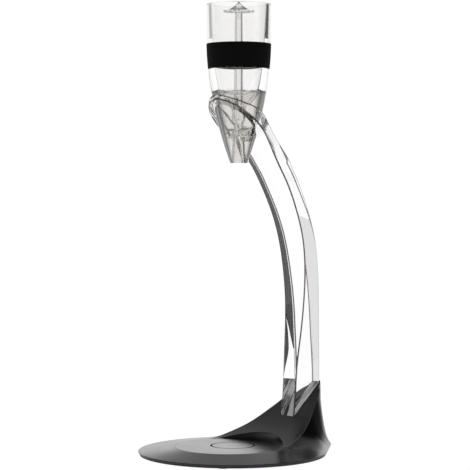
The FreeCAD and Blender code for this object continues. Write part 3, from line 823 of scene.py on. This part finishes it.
cup_radius, cup_height, shoulder = 28.4 * mm, 139.2 * mm, 108.4 * mm
bulge_out, bulge_up = 0.66, 0.43
band_low, band_high, band_depth = 82.4 * mm, 104.4 * mm, 1.3 * mm
upper_radius, upper_start = cup_radius + 0.1 * mm, shoulder + 5.0 * mm
rim_wall, shoulder_wall, middle_wall = 3.9 * mm, 5.3 * mm, 6.55 * mm
rim_soft = 0.6 * mm
rest_gap = 0.03 * mm
cup_floor = seam_height + rest_gap
cup_arc = np.array([
    (seam_radius, seam_height),
    (seam_radius + (cup_radius - seam_radius) * bulge_out,
     seam_height + (shoulder - seam_height) * bulge_up),
    (cup_radius, shoulder),
])


def cup_band(offset, low, high, count=16):
    """A stretch of the cup's outline between two heights, moved out by the offset."""
    height = np.linspace(low, high, count)
    return list(zip(arc_radius(cup_arc, height) + offset, height))


cup_outline = cup_band(0.0, cup_floor, band_low) + cup_band(-band_depth, band_low, band_high)
cup_outline += cup_band(0.0, band_high, shoulder, 6)
cup_outline += eased(np.array([
    (upper_radius, upper_start), (upper_radius, cup_height),
    (cup_radius - rim_wall, cup_height), (cup_radius - shoulder_wall, shoulder),
]), rim_soft, 6)[:-1]
middle = (seam_height + shoulder) / 2.0
cup_outline += arc((cup_radius - shoulder_wall, shoulder),
                   (float(arc_radius(cup_arc, middle)) - middle_wall, middle),
                   (funnel_mouth, cup_floor))
aerator_cup = turned("clear_cup", cup_outline, body_clear)
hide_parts("aerator_cup")
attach(aerator_cup, "root")

# Grip band
# A moulded black silicone band with a dry, matt face and soft edges.
# It is stretched into the cup's groove and stands a hair proud of it.

band_proud, band_gap = 0.1 * mm, 0.02 * mm
edge_height, edge_drop = 0.3 * mm, 0.2 * mm
band_black = grained("band_black", (0.003, 0.003, 0.003), roughness=0.7, spread=0.05,
                     grain=0.5 * mm, depth=0.06 * mm, lustre=0.06)
band_outline = cup_band(band_proud, band_low + edge_height, band_high - edge_height)
band_outline += cup_band(-edge_drop, band_high, band_high, 1)
band_outline += cup_band(-band_depth + band_gap, band_low, band_high)[::-1]
band_outline += cup_band(-edge_drop, band_low, band_low, 1)
grip_band = turned("silicone_band", band_outline, band_black)
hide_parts("grip_band")
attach(grip_band, "root")

# Spreader stem
# A clear acrylic tube, slightly tapered, that stands in the middle of the cup.
# Its three moulded fins rest in the funnel and leave the wine free to pass.

stem_low, stem_high = 49.4 * mm, 131.6 * mm
stem_foot, stem_head, stem_bore = 3.9 * mm, 3.3 * mm, 2.1 * mm
fin_width, fin_reach, fin_height = 1.4 * mm, 8.6 * mm, 4.2 * mm
fin_root, fin_lift = stem_bore + 0.5 * mm, 0.12 * mm
funnel_slope = (funnel_mouth - throat_radius) / (seam_height - throat_top)


def fin(turn):
    """A flat fin, turned round the spout axis. Its lower edge follows the funnel at a small lift:
    height over the throat is the way out from the throat divided by the funnel's slope."""
    funnel_low = throat_radius + (stem_low - throat_top - fin_lift) * funnel_slope
    funnel_high = throat_top + fin_lift + (fin_reach - throat_radius) / funnel_slope
    fin_top = funnel_high + fin_height
    outline = np.array([(fin_root, stem_low), (funnel_low, stem_low), (fin_reach, funnel_high),
                        (fin_reach, fin_top), (fin_root, fin_top)])
    side = np.array([-math.sin(turn), math.cos(turn)])
    plan = outline[:, :1] * np.array([[math.cos(turn), math.sin(turn)]])
    points = np.vstack([np.column_stack([plan + side * half, outline[:, 1]]) for half in
                        (-fin_width / 2.0, fin_width / 2.0)]) + (spout_x, 0.0, spout_z)
    return add_piece("fin", points, [face[::-1] for face in closed_faces(2, len(outline))],
                     body_clear)


stem = turned("clear_stem", [(stem_bore, stem_low), (stem_foot, stem_low), (stem_head, stem_high),
                             (stem_bore, stem_high)], inner_clear, 96)
for turn in (90.0, 210.0, 330.0):
    cut(stem, fin(math.radians(turn)), "UNION")
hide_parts("spreader_stem")
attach(stem, "root")

# Spreader cap
# A thin pointed cap in clear acrylic, plugged into the stem by its spigot, with a ring of
# drip holes near its edge.

cap_tip, cap_rim, cap_radius, cap_wall = 141.4 * mm, 132.9 * mm, 13.4 * mm, 1.1 * mm
cap_middle = (5.0 * mm, 136.3 * mm)
tip_flat = 0.02 * mm
hub = 3.6 * mm
spigot, spigot_low = stem_bore - 0.05 * mm, stem_high - 6.0 * mm
cap_seat = stem_high + rest_gap
holes, hole_radius, hole_reach = 14, 0.95 * mm, cap_radius - 1.9 * mm
under_points, cap_steps, hole_steps = 24, 168, 24
cap_top = [(tip_flat, cap_tip), cap_middle, (cap_radius, cap_rim)]
centre_r, centre_z, top_radius = circle_through(*[np.array(p) for p in cap_top])


def cap_under(radius):
    """The under face: the top face's arc, moved out from its centre by the wall."""
    return float(centre_z - math.sqrt((top_radius + cap_wall) ** 2 - (radius - centre_r) ** 2))


cap_outline = [(tip_flat, spigot_low), (spigot, spigot_low), (spigot, cap_seat), (hub, cap_seat)]
cap_outline += [(r, cap_under(r)) for r in np.linspace(hub, cap_radius, under_points)]
cap_outline += arc(*cap_top)[::-1]
cap = plug("clear_cap", cap_outline, inner_clear, cap_steps)
angle = full_turn(hole_steps)
for number in range(holes):
    turn = 2.0 * math.pi * (number + 0.5) / holes
    x = spout_x + hole_reach * math.cos(turn) + hole_radius * np.cos(angle)
    y = hole_reach * math.sin(turn) + hole_radius * np.sin(angle)
    points = np.vstack([np.column_stack([x, y, np.full(hole_steps, spout_z + z)])
                        for z in (stem_high, cap_tip)])
    cut(cap, add_piece("drip_hole", points, closed_faces(2, hole_steps), body_clear))
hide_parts("spreader_cap")
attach(cap, "root")

# Studio
# A lit white table, clear from below, in a room that is bright behind the object. Dark cards
# stand beside it on the right, their lower edge in steps, and a light grey one on the left.
# Only light through the clear pieces meets the cards, so these show grey and dark lines.

photo_turn = 44.0
look = np.array([math.sin(math.radians(photo_turn)), math.cos(math.radians(photo_turn)), 0.0])
right = np.array([look[1], -look[0], 0.0])
up = np.array([0.0, 0.0, 1.0])


def plain(name, shade, glow):
    """A matt grey surface that also gives off white light of its own."""
    material, _, shader = fresh_material(name)
    shader.inputs["Base Color"].default_value = (shade, shade, shade, 1.0)
    shader.inputs["Roughness"].default_value = 0.8
    shader.inputs["Specular IOR Level"].default_value = 0.0
    shader.inputs["Emission Color"].default_value = (1.0, 1.0, 1.0, 1.0)
    shader.inputs["Emission Strength"].default_value = glow
    return material


def stage_sheet(name, a, b, rise, material):
    """A flat sheet from the line a to b along the rise, which is no part of the object."""
    sheet = add_piece(name, [a, b, b + rise, a + rise], [(0, 1, 2, 3)], material)
    return sheet


# The table is 60 m wide, lies just under the pads, and is clear from its back
table_half = 30.0
below = -0.05 * mm * up
lit_table = plain("lit_table", 0.3, 0.96)
table_tree = lit_table.node_tree
face = table_tree.nodes.new("ShaderNodeNewGeometry")
clear = table_tree.nodes.new("ShaderNodeBsdfTransparent")
choice = table_tree.nodes.new("ShaderNodeMixShader")
table_tree.links.new(face.outputs["Backfacing"], choice.inputs["Fac"])
table_tree.links.new(table_tree.nodes["Principled BSDF"].outputs["BSDF"], choice.inputs[1])
table_tree.links.new(clear.outputs["BSDF"], choice.inputs[2])
table_tree.links.new(choice.outputs["Shader"],
                     table_tree.nodes["Material Output"].inputs["Surface"])
stage_sheet("table", below - table_half * (right + look), below + table_half * (right - look),
            2.0 * table_half * look, lit_table)

# Each card: how far right it stands, the way back to its near end and that end's lower edge,
# the same for its far end, and its glow
dark_side, pale_side = 0.5, -0.3
dark_glow, pale_glow = 0.006, 0.76
card_shade, card_height, card_lift = 0.01, 0.9, 0.5 * mm
for name, side, near, low, far, high, glow in (
        ("black_card", dark_side, -0.05, 0.0, 0.052, 0.0, dark_glow),
        ("slant_card", dark_side, 0.052, 0.08, 0.057, 0.03, dark_glow),
        ("low_card", dark_side, 0.057, 0.03, 0.064, 0.01, dark_glow),
        ("long_card", dark_side, 0.064, 0.01, 0.3, 0.01, dark_glow),
        ("grey_card", pale_side, -0.09, 0.0, 0.21, 0.0, pale_glow)):
    foot = card_lift * up + side * right
    card = stage_sheet(name, foot + near * look + low * up, foot + far * look + high * up,
                       card_height * up, plain(name, card_shade, glow))
    card.visible_camera = card.visible_diffuse = card.visible_glossy = card.visible_shadow = False

world = bpy.data.worlds.new("studio")
bpy.context.scene.world = world
world.use_nodes = True
room_tree = world.node_tree
direction = room_tree.nodes.new("ShaderNodeTexCoord")


def zone(axis, low, high, before, after):
    """Brightness by direction: from one value to another as the direction's share along the
    axis goes from low to high, on a smooth step."""
    along = room_tree.nodes.new("ShaderNodeVectorMath")
    along.operation = "DOT_PRODUCT"
    along.inputs[1].default_value = tuple(axis)
    shade = room_tree.nodes.new("ShaderNodeMapRange")
    shade.interpolation_type = "SMOOTHSTEP"
    for name, value in (("From Min", low), ("From Max", high),
                        ("To Min", before), ("To Max", after)):
        shade.inputs[name].default_value = value
    room_tree.links.new(direction.outputs["Generated"], along.inputs[0])
    room_tree.links.new(along.outputs["Value"], shade.inputs["Value"])
    return shade.outputs["Result"]


def joined(a, b, how):
    """Two brightnesses multiplied or added."""
    step = room_tree.nodes.new("ShaderNodeMath")
    step.operation = how
    room_tree.links.new(a, step.inputs[0])
    room_tree.links.new(b, step.inputs[1])
    return step.outputs["Value"]


# Dark to the right, greyer to the left, brighter above a low line, darker towards the ceiling,
# and dim behind the camera
room = zone(right, 0.4, 0.58, 1.0, 0.03)
for shape in ((-right, 0.42, 0.6, 1.0, 0.4), (up, 0.115, 0.15, 1.0, 1.5),
              (up, 0.19, 0.33, 1.0, 0.24), (-look, 0.2, 0.5, 1.0, 0.0)):
    room = joined(room, zone(*shape), "MULTIPLY")
room = joined(room, zone(-look, 0.2, 0.5, 0.0, 0.15), "ADD")
sky = room_tree.nodes["Background"]
room_tree.links.new(room, sky.inputs["Color"])
sky.inputs["Strength"].default_value = 1.02

# Camera
# The photograph's view: level, at the height where lines neither rise nor fall in the image,
# with the frame shifted down. The distances come from the base's rim and the arm's foot.

# In pixels of the photograph: its side, the focal length, and the row of the horizon
photo_side = 470.0
focal = 1704.7
horizon_row = 190.0
sensor = 36.0
camera = bpy.data.cameras.new("camera")
camera.sensor_width = sensor
camera.lens = focal / photo_side * sensor
camera.shift_y = (horizon_row - photo_side / 2.0) / photo_side
viewer = bpy.data.objects.new("camera", camera)
viewer.location = (-1.0449, -1.0731, 0.231)
viewer.rotation_euler = (math.pi / 2.0, 0.0, math.radians(-photo_turn))
bpy.context.scene.collection.objects.link(viewer)
bpy.context.scene.camera = viewer

# Light passes through many clear walls before it is lost
bounces = 64
cycles = bpy.context.scene.cycles
cycles.max_bounces = cycles.transmission_bounces = cycles.glossy_bounces = bounces
cycles.transparent_max_bounces = 16
bpy.context.scene.view_settings.view_transform = "Standard"
